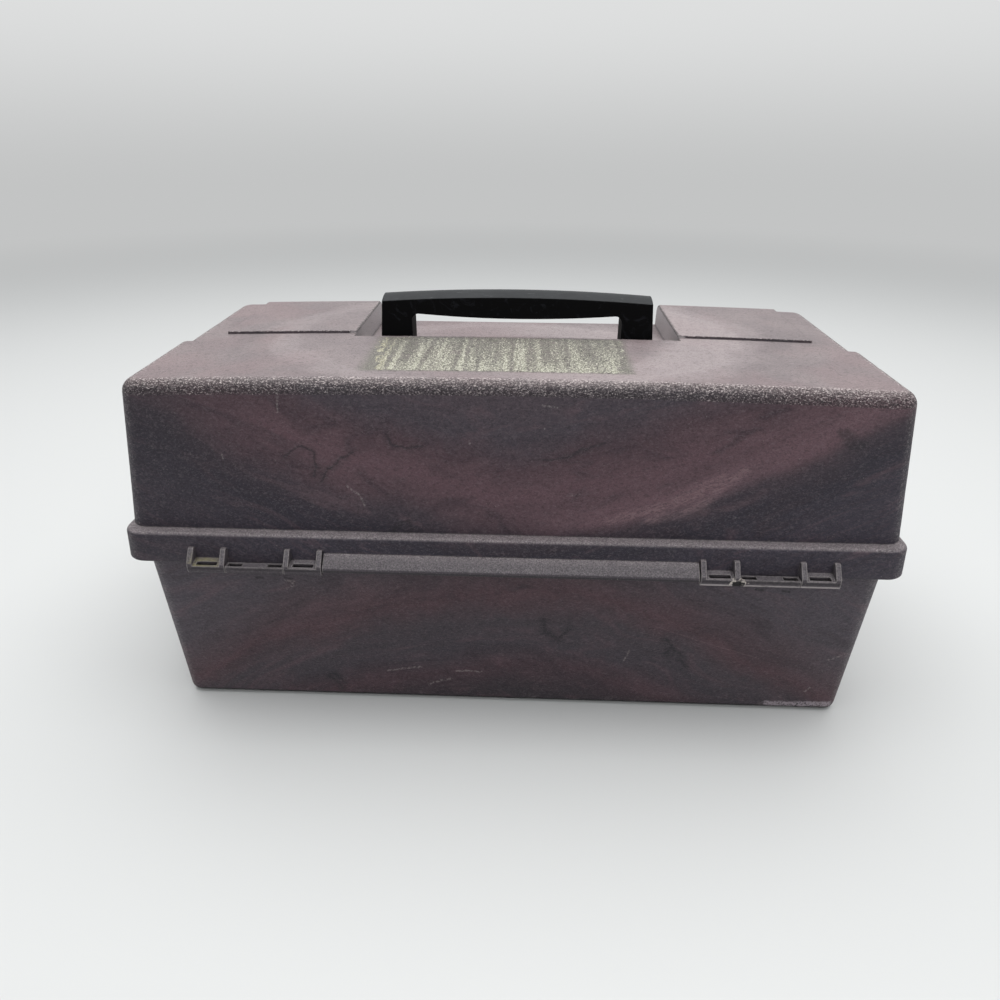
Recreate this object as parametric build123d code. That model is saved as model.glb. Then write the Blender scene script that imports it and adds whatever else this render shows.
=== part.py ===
from build123d import *
import os
from math import atan2, asin, cos, degrees, hypot, radians, sin, tan

os.makedirs("parts", exist_ok=True)

# A moulded tackle box with a back-hinged lid, a folding handle and three trays on swinging arms.
# Millimetres, +Z up, hinges at +Y, latch at -Y, origin under the middle of the base.

# Driving sizes of the shells
skirt_length = 430.0
skirt_depth = 206.0
skirt_edge = 107.0
skirt_height = 17.8
skirt_draft = 4.0
skirt_wall = 2.2
skirt_corner = 12.0
lid_set_back = 8.0
lid_end_set_back = 3.2
lid_rise = 81.2
lid_draft = 4.2
lid_end_draft = 5.5
lid_corner = 10.0
lid_wall = 2.4
lid_edge_round = 8.0
crown = 3.8
base_set_back = 9.0
base_end_set_back = 5.2
base_draft = 3.35
base_corner = 8.0
base_wall = 2.5
base_floor = 2.8
base_edge_round = 5.0
rim_height = 14.0
flange_clearance = 0.8
flange_lift = 0.6
flange_thickness = 2.0

# Lid top
side_step = 5.0
side_step_y = 12.8
panel_inset = 37.5
panel_rise = 1.6
panel_back_y = -1.6
recess_half_width = 97.5
recess_floor = 195.0
recess_back_y = 3.8
recess_back_slope = 3.6
recess_edge_round = 1.5
panel_edge_round = 0.6
skirt_top_round = 2.5
skirt_edge_round = 1.0

# Handle
handle_thickness = 17.0
handle_outer = 82.5
handle_top_outer = 80.2
handle_inner = 63.0
handle_rise = 32.6
handle_bow = 2.9
grip_depth = 15.0
grip_end_rise = 2.7
grip_edge_round = 4.0
grip_front_fall = 3.1
grip_back_fall = 1.6
stem_below_pivot = 8.0
stem_cut_front = 5.0
stem_cut_low = 6.2
pivot_back = 10.5
pivot_lift = 0.3
handle_gap = 0.4
handle_pin_radius = 1.6
handle_pin_wall = 1.5
pin_end_room = 1.5

# Hinges
hinge_inset = 75.8
hinge_drop = 0.5
hinge_half = 36.9
hinge_reach = 6.5
hinge_pin_radius = 1.0
barrel_radius = 2.5
ear = 2.8
middle_half = 15.9
web_half = 7.0
ear_rise = 10.0
plate_rise = 4.0
plate_fall = 1.5
slot_length = 11.5
slot_width = 2.7
bar_width = 5.0
bar_slot_width = 3.0
bar_end = 1.0
web_clearance = 0.6
rail_end_gap = 0.6
rail_top = 8.0
rail_drop = 5.6
rail_edge_round = 1.2

# Latch
latch_half = 28.0
latch_thickness = 3.0
latch_pin_radius = 1.5
latch_drop = 30.0
latch_standoff = 3.0
latch_pivot_drop = 2.0
latch_eye_radius = 3.2
latch_lug = 4.0
lug_radius = 4.3
lug_foot = 4.0
pull_depth = 5.0
hook_depth = 8.0
hook_height = 3.2
hook_rise = 1.3
hook_clearance = 0.5
hook_nose = 2.0
hook_tip_round = 1.0
catch_thickness = 2.5
catch_brace = 7.0
latch_panel_border = 12.0
latch_panel_depth = 0.8

# Trays and arms
tray_end_room = 24.0
tray_height = 23.5
tray_pitch = 27.0
tray_wall = 1.8
tray_corner = 4.0
tray_front_room = 22.6
low_tray_back = 30.0
middle_tray_back = 24.0
top_tray_back = 72.0
tray_lift = 4.5
divider_counts = (3, 4, 5)
divider_thickness = 1.6
divider_drop = 1.5
guide = 1.2
arm_angle = 36.0
arm_width = 12.0
arm_thickness = 1.5
arm_ratio = 0.8
rear_foot_share = 0.45
front_pin_inset = 12.9
arm_foot_drop = 3.0
post_radius = 5.5
first_reach_share = 0.72
rivet_radius = 2.0
rivet_head_radius = 3.6
rivet_head = 1.2
crank_reach = 39.2
crank_angle = 9.6
crank_boss = 5.5
link_foot_back = 25.1
link_foot_rise = 20.0
link_ratio = 0.011
link_width = 9.0
link_thickness = 1.5
link_margin = 0.35
link_rim = 2.5
rivet_grip = 7.5
rivet_hole = 8.0
lid_open_angle = 100.0

# Clearances
pin_clearance = 0.05
side_clearance = 0.3
slip = 0.2
face_gap = 0.6

# Places that follow from the sizes
ledge = skirt_edge + skirt_height
lid_top = ledge + lid_rise
skirt_back = skirt_depth / 2
hinge_y = skirt_back + hinge_reach - barrel_radius
hinge_z = skirt_edge - hinge_drop
hinge_offset = skirt_length / 2 - hinge_inset
plate_top = hinge_z + plate_rise
rail_half = hinge_offset - hinge_half - rail_end_gap
lid_length = skirt_length - 2 * lid_end_set_back
lid_depth = skirt_depth - 2 * lid_set_back
base_draft_slope = tan(radians(base_draft))
base_length = skirt_length - 2 * base_end_set_back - 2 * skirt_edge * base_draft_slope
base_depth = skirt_depth - 2 * base_set_back - 2 * skirt_edge * base_draft_slope
rim_top = skirt_edge + rim_height
flange_width = base_end_set_back - skirt_wall - flange_clearance
lid_slope = tan(radians(lid_draft))
lid_end_slope = tan(radians(lid_end_draft))
panel_half_length = skirt_length / 2 - panel_inset
far = 2 * skirt_length

pivot_y = recess_back_y - recess_back_slope - handle_gap - pivot_back
pivot_z = recess_floor + handle_thickness - pivot_back + pivot_lift
pin_end = recess_half_width - pin_end_room

latch_y = -skirt_back - latch_standoff - latch_thickness / 2
latch_z = ledge - latch_pivot_drop
hook_top = latch_z - latch_drop + hook_height + hook_rise

tray_half_length = skirt_length / 2 - tray_end_room
tray_front = hinge_y + skirt_back - tray_front_room
tray_backs = (low_tray_back, middle_tray_back, top_tray_back)
arm_step = tray_pitch / sin(radians(arm_angle))
arm_reach = [(first_reach_share + n) * arm_step for n in range(3)]
front_arm_foot = tray_front - front_pin_inset - arm_reach[-1] * cos(radians(arm_angle))
arm_feet = (rear_foot_share * front_arm_foot, front_arm_foot)
arm_foot_z = hinge_z - arm_foot_drop
link_foot = (link_foot_back, link_foot_rise)
arm_inner = tray_half_length + face_gap
arm_outer = arm_inner + arm_thickness
link_inner = arm_outer + rivet_head + side_clearance
link_outer = link_inner + link_thickness
tray_bottoms = [hinge_z + tray_lift + n * tray_pitch for n in range(3)]
sides = {"right": 1, "left": -1}
levels = ("low", "middle", "top")


def rounded(length, depth, radius, z):
    return Pos(0, 0, z) * RectangleRounded(length, depth, radius)


def yz_prism(points, x_from, x_to):
    """Solid with a side outline of (y, z) points between two x planes."""
    face = make_face(Polyline([(x_from, y, z) for y, z in points], close=True))
    return extrude(face, amount=x_to - x_from, dir=(1, 0, 0))


def x_rod(y, z, radius, x_from, x_to):
    rod = Cylinder(radius, abs(x_to - x_from), rotation=(0, 90, 0))
    return Pos((x_from + x_to) / 2, y, z) * rod


def box_between(low, high):
    size = [b - a for a, b in zip(low, high)]
    middle = [(a + b) / 2 for a, b in zip(low, high)]
    return Pos(*middle) * Box(*size)


def under_arch(top, sag, half):
    """Everything under a long arc that runs along X and is `sag` lower at +-half."""
    radius = (half**2 + sag**2) / (2 * sag)
    return Pos(0, 0, top - radius) * Cylinder(radius, far, rotation=(90, 0, 0))


def at(u, z):
    """A place in the tray linkage: u forward of the hinge axis, z above it, as (y, z)."""
    return hinge_y - u, hinge_z + z


# Base
def base_wall_at(z):
    """Outer half length and half depth of the base at a height."""
    return base_length / 2 + z * base_draft_slope, base_depth / 2 + z * base_draft_slope


def tub_outside():
    block = extrude(rounded(base_length, base_depth, base_corner, 0), rim_top, taper=-base_draft)
    return fillet(block.faces().sort_by(Axis.Z)[0].edges(), base_edge_round)


def tub_inside():
    half_length, half_depth = base_wall_at(base_floor)
    floor_face = rounded(
        2 * (half_length - base_wall), 2 * (half_depth - base_wall), base_corner - base_wall, base_floor
    )
    block = extrude(floor_face, rim_top, taper=-base_draft)
    return fillet(block.faces().sort_by(Axis.Z)[0].edges(), base_edge_round - base_wall)


def rim_flange():
    """Ledge round the tub, just inside the lid's skirt."""
    half_length, half_depth = (size + flange_width for size in base_wall_at(skirt_edge))
    face = rounded(2 * half_length, 2 * half_depth, base_corner + flange_width, skirt_edge + flange_lift)
    return extrude(face, flange_thickness)


def base_knuckle(x):
    """Middle knuckle: a slotted bar on the pin, carried by a web that passes under the lid's skirt."""
    outer = hinge_y + barrel_radius
    body = x_rod(hinge_y, hinge_z, barrel_radius, x - middle_half, x + middle_half)
    bar_back = outer - bar_width
    body += box_between(
        (x - middle_half, bar_back, hinge_z), (x + middle_half, outer, hinge_z + barrel_radius)
    )
    body += box_between(
        (x - web_half, base_wall_at(skirt_edge)[1] - 1, hinge_z - barrel_radius),
        (x + web_half, hinge_y, skirt_edge - web_clearance),
    )
    slot = middle_half - web_half - bar_end
    for side in (-1, 1):
        slot_x = x + side * (web_half + slot / 2)
        body -= Pos(slot_x, hinge_y, hinge_z + barrel_radius) * Box(slot, bar_slot_width, 2 * barrel_radius)
    return body


def catch_lip():
    """Lip on the front wall that the latch hooks under."""
    wall_y = -base_wall_at(hook_top)[1] + 1
    outer = -skirt_back + side_clearance
    low = hook_top + hook_clearance
    points = [(wall_y, low), (outer, low), (outer, low + catch_thickness), (wall_y, low + catch_brace)]
    return yz_prism(points, -latch_half + ear, latch_half - ear)


def arm_post(side, u):
    """Post on the end wall that an arm turns on."""
    y, z = at(u, -arm_foot_drop)
    wall_x = base_wall_at(arm_foot_z)[0] - 1
    return x_rod(y, z, post_radius, side * (arm_outer + slip), side * wall_x)


def base_tub():
    body = tub_outside() + rim_flange() - tub_inside()
    body += catch_lip()
    for x in (-hinge_offset, hinge_offset):
        body += base_knuckle(x)
        body -= x_rod(hinge_y, hinge_z, hinge_pin_radius + pin_clearance, x - hinge_half, x + hinge_half)
    for side in sides.values():
        for u in arm_feet:
            body += arm_post(side, u)
            y, z = at(u, -arm_foot_drop)
            body -= x_rod(y, z, rivet_radius, side * arm_inner, side * (arm_outer + slip + rivet_hole))
    return body


# Lid
def lid_block(inset, rise, narrow, bottom):
    """Tapered and arched block of the lid, `inset` inside its outer faces, from a height up."""
    top = lid_top + 4 * crown

    def outline(z):
        length = lid_length - 2 * (narrow + inset + (z - ledge) * lid_end_slope)
        depth = lid_depth - 2 * (inset + (z - ledge) * lid_slope)
        return rounded(length, depth, lid_corner - inset, z)

    block = loft([outline(bottom), outline(top)], ruled=True)
    block &= under_arch(lid_top + crown + rise - inset, crown, lid_length / 2)
    return fillet(block.faces().sort_by(Axis.Z)[-1].edges(), lid_edge_round - inset)


def lid_volume(inset, bottom):
    split = side_step_y + inset
    behind = lid_block(inset, 0, 0, bottom) & box_between((-far, split, 0), (far, far, far))
    ahead = lid_block(inset, 0, side_step, bottom) & box_between((-far, -far, 0), (far, split, far))
    return behind + ahead


def raised_panel():
    region = box_between((-panel_half_length, -far, ledge), (panel_half_length, panel_back_y, far))
    return lid_block(0, panel_rise, side_step, ledge) & region


def recess(grow):
    """Handle recess, open at the front, `grow` larger than its faces."""
    back = recess_back_y + grow
    rise = lid_top + 4 * crown - recess_floor
    slope = recess_back_slope * rise / (lid_top + crown - recess_floor)
    points = [
        (back - recess_back_slope, recess_floor - grow),
        (back - recess_back_slope + slope, recess_floor + rise),
        (-far, recess_floor + rise),
        (-far, recess_floor - grow),
    ]
    return yz_prism(points, -recess_half_width - grow, recess_half_width + grow)


def lid_top_block():
    """Outside of the lid above its skirt, with the recess and its rounded edges."""
    block = lid_volume(0, ledge - skirt_wall / 2) + raised_panel() - recess(0)

    def on_recess(edge):
        place = edge.center()
        beside = abs(place.X) < recess_half_width + 0.1 and place.Y < recess_back_y + 0.1
        return beside and place.Z > lid_top and edge.length > 2 * panel_rise

    def on_panel_step(edge):
        return abs(edge.center().Y - panel_back_y) < 0.1 and edge.bounding_box().max.Z > lid_top + crown

    block = fillet(block.edges().filter_by(on_recess), recess_edge_round)
    step = block.edges().filter_by(on_panel_step)
    step = step.filter_by(lambda edge: edge.length > recess_half_width / 2)
    return fillet(step, panel_edge_round)


def pivot_block(side):
    """Block on the recess floor beside the handle's foot, which holds its pin."""
    radius = handle_pin_radius + handle_pin_wall
    x_from, x_to = sorted((side * (handle_outer + 4 * side_clearance), side * (recess_half_width + 1)))
    box = box_between((x_from, pivot_y - radius, recess_floor - 1), (x_to, pivot_y + radius, pivot_z))
    return box + x_rod(pivot_y, pivot_z, radius, x_from, x_to)


def back_rail():
    """Sloped rail along the skirt between the hinges."""
    outer = hinge_y + barrel_radius
    top, low = skirt_edge + rail_top, hinge_z
    inner = skirt_back - 1
    points = [(inner, top), (skirt_back, top), (outer, top - rail_drop), (outer, low), (inner, low)]
    rail = yz_prism(points, -rail_half, rail_half)
    front_edges = rail.edges().filter_by(Axis.X).filter_by(lambda edge: edge.center().Y > outer - 0.1)
    return fillet(front_edges, rail_edge_round)


def lid_knuckle(x_from, x_to):
    """Box-shaped knuckle: two ears, a sloped plate with a slot over the pin, and the barrel."""
    outer = hinge_y + barrel_radius
    front_top = plate_top - plate_fall
    ear_points = [
        (skirt_back - 1, skirt_edge + ear_rise),
        (skirt_back + 1, skirt_edge + ear_rise),
        (outer, plate_top),
        (outer, hinge_z),
        (hinge_y, hinge_z - barrel_radius),
        (skirt_back - 1, skirt_edge),
    ]
    plate_points = [
        (skirt_back - 1, plate_top),
        (skirt_back, plate_top),
        (outer, front_top),
        (outer, hinge_z),
        (skirt_back - 1, skirt_edge),
    ]
    body = yz_prism(ear_points, x_from, x_from + ear) + yz_prism(ear_points, x_to - ear, x_to)
    body += x_rod(hinge_y, hinge_z, barrel_radius, x_from, x_to)
    body += yz_prism(plate_points, x_from, x_to)
    slot_height = 2 * (plate_top - hinge_z)
    return body - Pos((x_from + x_to) / 2, hinge_y, plate_top) * Box(slot_length, slot_width, slot_height)


def latch_lugs():
    body = []
    for side in sides.values():
        inner = side * (latch_half + side_clearance)
        outer = inner + side * latch_lug
        points = [
            (latch_y, latch_z - lug_radius),
            (latch_y, latch_z + lug_radius),
            (-skirt_back + lug_foot, ledge),
            (-skirt_back + lug_foot, skirt_edge + lug_foot),
            (-skirt_back + 1, skirt_edge + lug_foot),
        ]
        x_from, x_to = sorted((inner, outer))
        body.append(yz_prism(points, x_from, x_to) + x_rod(latch_y, latch_z, lug_radius, x_from, x_to))
    return body


def link_post(side):
    """Post on the lid's end wall that the lid link turns on."""
    y, z = at(*link_foot)
    rod = x_rod(y, z, post_radius, side * (link_outer + slip), side * lid_length / 2)
    return rod & lid_block(lid_wall / 2, 0, 0, skirt_edge)


def skirt():
    """The outside of the lid's skirt and the space inside it, both wider at the bottom."""
    outside_face = rounded(skirt_length, skirt_depth, skirt_corner, skirt_edge)
    outside = extrude(outside_face, skirt_height, taper=skirt_draft)
    outside = fillet(outside.faces().sort_by(Axis.Z)[-1].edges(), skirt_top_round)
    outside = fillet(outside.faces().sort_by(Axis.Z)[0].edges(), skirt_edge_round)
    spread = 2 * (skirt_wall - tan(radians(skirt_draft)))
    low = skirt_edge - 1
    inside_face = rounded(skirt_length - spread, skirt_depth - spread, skirt_corner - skirt_wall, low)
    return outside, extrude(inside_face, skirt_height - skirt_wall + 1, taper=skirt_draft)


def lid_shell():
    outside, inside = skirt()
    body = outside + lid_top_block()
    body -= inside + (lid_volume(lid_wall, skirt_edge - 1) - recess(lid_wall))
    body += back_rail()
    for x in (-hinge_offset, hinge_offset):
        body += lid_knuckle(x - hinge_half, x - middle_half - side_clearance)
        body += lid_knuckle(x + middle_half + side_clearance, x + hinge_half)
        body -= x_rod(hinge_y, hinge_z, hinge_pin_radius, x - hinge_half, x + hinge_half)
    for lug in latch_lugs():
        body += lug
    body -= x_rod(latch_y, latch_z, latch_pin_radius, -far, far)
    for side in sides.values():
        body += pivot_block(side) + link_post(side)
        y, z = at(*link_foot)
        body -= x_rod(pivot_y, pivot_z, handle_pin_radius, 0, side * pin_end)
        body -= x_rod(y, z, rivet_radius, side * link_inner, side * (link_outer + slip + rivet_hole))
    return body


# Handle
def grip_front():
    """Front outline of the handle: a bar on two legs, with the finger gap's arched top."""
    top = pivot_z + handle_rise
    low = pivot_z - stem_below_pivot
    foot_half = handle_outer + (handle_outer - handle_top_outer) * stem_below_pivot / handle_rise
    corners = [(-foot_half, low), (-handle_top_outer, top), (handle_top_outer, top), (foot_half, low)]
    outline = Polyline(corners, close=True)
    arch = top - grip_depth
    corner = arch + grip_end_rise
    half = handle_inner
    legs = Polyline((-half, corner), (-half, low - 1), (half, low - 1), (half, corner))
    roof = ThreePointArc((half, corner), (0, arch), (-half, corner))
    return make_face(outline) - make_face(legs + roof)


def grip_roof(top, front_y, back_y):
    """The bowed and slightly domed top that the grip is cut to."""
    radius = (handle_top_outer**2 + handle_bow**2) / (2 * handle_bow)
    low = top - 2 * handle_rise
    front, middle, back = front_y + 1, pivot_y, back_y - 1
    front_top, back_top = top - grip_front_fall, top - grip_back_fall
    dome = ThreePointArc((0, front, front_top), (0, middle, top), (0, back, back_top))
    sides_and_floor = Polyline((0, back, back_top), (0, back, low), (0, front, low), (0, front, front_top))
    spread = 2 * degrees(asin(2 * handle_top_outer / radius))
    axis = Axis((0, 0, top - radius), (0, 1, 0))
    return revolve(make_face(dome + sides_and_floor).rotate(axis, -spread / 2), axis, spread)


def handle_grip():
    top = pivot_z + handle_rise
    front_y = pivot_y + pivot_back
    back_y = front_y - handle_thickness
    body = Pos(0, front_y, 0) * extrude(Plane.XZ * grip_front(), handle_thickness, dir=(0, -1, 0))
    side_points = [
        (front_y, pivot_z - 1),
        (front_y, top + 1),
        (back_y, top + 1),
        (back_y, pivot_z),
        (pivot_y, pivot_z - stem_cut_low),
        (pivot_y + stem_cut_front, pivot_z - stem_cut_front + 1),
    ]
    foot_radius = pivot_y - back_y - slip
    body &= yz_prism(side_points, -far, far) + x_rod(pivot_y, pivot_z, foot_radius, -far, far)
    body &= grip_roof(top, front_y, back_y)
    body = fillet(body.edges().filter_by(Axis.Y).group_by(Axis.Z)[-1], grip_edge_round)
    return body - x_rod(pivot_y, pivot_z, handle_pin_radius + pin_clearance, -far, far)


def handle_pin(side):
    return x_rod(pivot_y, pivot_z, handle_pin_radius, side * (handle_inner + slip), side * pin_end)


# Latch
def latch():
    back = latch_y + latch_thickness / 2
    front = latch_y - latch_thickness / 2
    low = latch_z - latch_drop
    hook_low = hook_top - hook_height
    tip = back + hook_depth
    pull = front - pull_depth
    points = [
        (back, latch_z),
        (back, hook_top),
        (tip - hook_tip_round, hook_top),
        (tip, hook_top - hook_height / 2),
        (tip - hook_nose, hook_low),
        (back, hook_low),
        (back, low),
        (pull + latch_thickness / 2, low - pull_depth),
        (pull, low - pull_depth + 1),
        (front, low + latch_thickness),
        (front, latch_z),
    ]
    body = yz_prism(points, -latch_half, latch_half)
    body += x_rod(latch_y, latch_z, latch_eye_radius, -latch_half, latch_half)
    panel_half = latch_half - latch_panel_border
    panel_low = hook_top + latch_panel_border / 2
    panel_high = latch_z - latch_panel_border / 2
    panel_face = front + latch_panel_depth
    body -= box_between((-panel_half, front - 1, panel_low), (panel_half, panel_face, panel_high))
    return body - x_rod(latch_y, latch_z, latch_pin_radius + pin_clearance, -far, far)


def latch_pin():
    end = latch_half + side_clearance + latch_lug - slip
    return x_rod(latch_y, latch_z, latch_pin_radius, -end, end)


# Trays
def pin_place(level, foot):
    """Where an arm is pinned to a tray, as (u, z)."""
    angle = radians(arm_angle)
    reach = arm_reach[level]
    return arm_feet[foot] + reach * cos(angle), -arm_foot_drop + reach * sin(angle)


def divider_places(level):
    count = divider_counts[level]
    return [tray_half_length * (2 * (n + 1) / (count + 1) - 1) for n in range(count)]


def tray_ends(level):
    """The y of a tray's front and back faces and the z of its underside."""
    return hinge_y - tray_front, hinge_y - tray_backs[level], tray_bottoms[level]


def divider_guides(level, x):
    """The four ribs inside a tray's walls that hold one divider."""
    front, back, low = tray_ends(level)
    near = divider_thickness / 2 + slip
    bottom, top = low + tray_wall - slip, low + tray_height - divider_drop
    ribs = []
    for x_from, x_to in ((x - near - guide, x - near), (x + near, x + near + guide)):
        for y_from, y_to in (
            (front + tray_wall - slip, front + tray_wall + guide),
            (back - tray_wall - guide, back - tray_wall + slip),
        ):
            ribs.append(box_between((x_from, y_from, bottom), (x_to, y_to, top)))
    return ribs


def tray(level):
    front, back, low = tray_ends(level)
    half, inner_half = tray_half_length, tray_half_length - tray_wall
    outer = box_between((-half, front, low), (half, back, low + tray_height))
    outer = fillet(outer.edges().filter_by(Axis.Z), tray_corner)
    inner = box_between(
        (-inner_half, front + tray_wall, low + tray_wall),
        (inner_half, back - tray_wall, low + tray_height + 1),
    )
    body = outer - fillet(inner.edges().filter_by(Axis.Z), tray_corner - tray_wall)
    for x in divider_places(level):
        for rib in divider_guides(level, x):
            body += rib
    for side in sides.values():
        for foot in (0, 1):
            y, z = at(*pin_place(level, foot))
            body -= x_rod(y, z, rivet_radius, side * (inner_half - 1), side * far)
    return body


def divider(level, x):
    front, back, low = tray_ends(level)
    return box_between(
        (x - divider_thickness / 2, front + tray_wall + slip, low + tray_wall),
        (x + divider_thickness / 2, back - tray_wall - slip, low + tray_height - divider_drop),
    )


# Arms
def strip(start, end, width, x_from, x_to):
    """Flat bar with round ends between two (y, z) places."""
    length = hypot(end[0] - start[0], end[1] - start[1])
    tilt = degrees(atan2(end[1] - start[1], end[0] - start[0]))
    bar = SlotCenterToCenter(length, width)
    plane = Plane(origin=(min(x_from, x_to), 0, 0), x_dir=(0, 1, 0), z_dir=(1, 0, 0))
    middle = ((start[0] + end[0]) / 2, (start[1] + end[1]) / 2)
    return extrude(plane * Pos(*middle) * Rot(0, 0, tilt) * bar, abs(x_to - x_from), dir=(1, 0, 0))


def crank_place():
    angle = radians(arm_angle + crank_angle)
    return arm_feet[0] + crank_reach * cos(angle), -arm_foot_drop + crank_reach * sin(angle)


def arm(side, foot):
    start = at(arm_feet[foot], -arm_foot_drop)
    end = at(*pin_place(2, foot))
    low_x, high_x = side * (arm_inner - 1), side * (arm_outer + 1)
    body = strip(start, end, arm_width, side * arm_inner, side * arm_outer)
    for place in [start] + [at(*pin_place(level, foot)) for level in range(3)]:
        body -= x_rod(*place, rivet_radius + pin_clearance, low_x, high_x)
    if foot == 0:
        body += x_rod(*at(*crank_place()), crank_boss, side * arm_inner, side * arm_outer)
        body -= x_rod(*at(*crank_place()), rivet_radius, low_x, high_x)
        body -= x_rod(*at(*pin_place(0, foot)), rivet_radius + pin_clearance, low_x, high_x)
    return body


def rivet(place, radius, x_from, x_to, head_at_from, head_at_to):
    """Rivet along X with flat round heads at the ends that are asked for."""
    y, z = place
    toward = 1 if x_to > x_from else -1
    body = x_rod(y, z, radius, x_from, x_to)
    if head_at_from:
        body += x_rod(y, z, rivet_head_radius, x_from, x_from - toward * rivet_head)
    if head_at_to:
        body += x_rod(y, z, rivet_head_radius, x_to, x_to + toward * rivet_head)
    return body


def tray_rivet(side, level, foot):
    place = at(*pin_place(level, foot))
    inner = side * (tray_half_length - tray_wall)
    outer = side * (arm_outer + pin_clearance)
    return rivet(place, rivet_radius, inner, outer, True, True)


def arm_rivet(side, foot):
    place = at(arm_feet[foot], -arm_foot_drop)
    head, end = side * (arm_inner - pin_clearance), side * (arm_outer + slip + rivet_grip)
    return rivet(place, rivet_radius, head, end, True, False)


# Lid link
def crank_in_link(angle):
    """The crank pin's place along and across the link when the lid is open by an angle in degrees."""
    lid = radians(angle)
    u, z = link_foot
    foot_u, foot_z = u * cos(lid) - z * sin(lid), u * sin(lid) + z * cos(lid)
    swing = radians(arm_angle + crank_angle + arm_ratio * angle)
    pin_u = arm_feet[0] + crank_reach * cos(swing)
    pin_z = -arm_foot_drop + crank_reach * sin(swing)
    turn = link_rest + radians(link_ratio * angle)
    du, dz = pin_u - foot_u, pin_z - foot_z
    return du * cos(turn) + dz * sin(turn), -du * sin(turn) + dz * cos(turn)


link_rest = atan2(crank_place()[1] - link_foot[1], crank_place()[0] - link_foot[0])
crank_track = [crank_in_link(lid_open_angle * n / 50) for n in range(51)]
track_along = [min(p[0] for p in crank_track), max(p[0] for p in crank_track)]
track_across = [min(p[1] for p in crank_track), max(p[1] for p in crank_track)]


def link_plane(side):
    """Plane on the link's inner face: x along the link, y across it."""
    along = (0, -cos(link_rest), sin(link_rest))
    y, z = at(*link_foot)
    inner = min(side * link_inner, side * link_outer)
    return Plane(origin=(inner, y, z), x_dir=along, z_dir=(1, 0, 0))


def lid_link(side):
    """Flat link with a round eye on the lid's post and a longer eye round the crank pin."""
    grow = rivet_radius + link_margin
    along = (track_along[0] - grow, track_along[1] + grow)
    across = (track_across[0] - grow, track_across[1] + grow)
    length, width = along[1] - along[0], across[1] - across[0]
    flip = -1 if link_plane(side).y_dir.Z < 0 else 1
    centre = ((along[0] + along[1]) / 2, flip * (across[0] + across[1]) / 2)
    corner = rivet_radius - slip
    eye = Pos(*centre) * RectangleRounded(length, width, corner)
    rim = Pos(*centre) * RectangleRounded(length + 2 * link_rim, width + 2 * link_rim, corner + link_rim)
    bar = Pos(centre[0] / 2, 0) * SlotCenterToCenter(centre[0], link_width)
    outline = bar + rim - eye - Circle(rivet_radius + pin_clearance)
    return extrude(link_plane(side) * outline, link_thickness, dir=(1, 0, 0))


def crank_rivet(side):
    place = at(*crank_place())
    return rivet(place, rivet_radius, side * arm_inner, side * (link_outer + slip), False, True)


def link_rivet(side):
    place = at(*link_foot)
    head, end = side * (link_inner - pin_clearance), side * (link_outer + slip + rivet_grip)
    return rivet(place, rivet_radius, head, end, True, False)


# Every separate piece
pieces = {
    "base_tub": base_tub(),
    "lid_shell": lid_shell(),
    "handle": handle_grip(),
    "latch": latch(),
    "latch_pin": latch_pin(),
}
for name, side in sides.items():
    x = side * hinge_offset
    end = hinge_half - slip
    pieces[f"hinge_pin_{name}"] = x_rod(hinge_y, hinge_z, hinge_pin_radius, x - end, x + end)
    pieces[f"handle_pin_{name}"] = handle_pin(side)
    pieces[f"lid_link_{name}"] = lid_link(side)
    pieces[f"link_rivet_{name}"] = link_rivet(side)
    pieces[f"crank_rivet_{name}"] = crank_rivet(side)
    for foot, where in enumerate(("rear", "front")):
        pieces[f"{where}_arm_{name}"] = arm(side, foot)
        pieces[f"{where}_arm_rivet_{name}"] = arm_rivet(side, foot)
        for level, height in enumerate(levels):
            pieces[f"{height}_tray_{where}_rivet_{name}"] = tray_rivet(side, level, foot)
for level, height in enumerate(levels):
    pieces[f"{height}_tray"] = tray(level)
    for n, x in enumerate(divider_places(level)):
        pieces[f"{height}_tray_divider_{n + 1}"] = divider(level, x)

for name, piece in pieces.items():
    export_step(piece, f"parts/{name}.step")
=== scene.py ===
import math

import bmesh
import bpy
from mathutils import Matrix, Vector, noise
from mathutils.bvhtree import BVHTree


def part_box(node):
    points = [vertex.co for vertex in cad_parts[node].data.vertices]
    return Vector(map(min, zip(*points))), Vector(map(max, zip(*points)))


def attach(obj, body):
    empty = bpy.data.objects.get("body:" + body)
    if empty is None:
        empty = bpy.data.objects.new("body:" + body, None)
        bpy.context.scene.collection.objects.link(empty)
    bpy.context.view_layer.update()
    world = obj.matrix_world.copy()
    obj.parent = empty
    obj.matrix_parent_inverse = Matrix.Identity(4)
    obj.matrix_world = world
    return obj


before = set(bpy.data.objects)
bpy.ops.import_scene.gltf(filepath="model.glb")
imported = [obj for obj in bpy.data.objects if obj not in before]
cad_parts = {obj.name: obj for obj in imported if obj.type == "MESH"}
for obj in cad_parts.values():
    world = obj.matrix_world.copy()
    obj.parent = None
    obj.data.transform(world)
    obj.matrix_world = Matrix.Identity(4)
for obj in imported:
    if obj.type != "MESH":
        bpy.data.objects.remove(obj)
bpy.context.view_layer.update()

# Camera
# It stands behind the box, close to its middle, and looks down on the hinges and the lid.
# Its place, turn and lens are those that line the box's corners up with the photograph's.
scene = bpy.context.scene
scene.view_settings.view_transform = "Standard"
camera_place = Vector((-0.00698, 0.44772, 0.32974))
camera_yaw = math.radians(-2.08)
camera_pitch = math.radians(27.45)
camera_roll = math.radians(0.34)
focal_pixels = 747.65
frame_pixels = 1000

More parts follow.
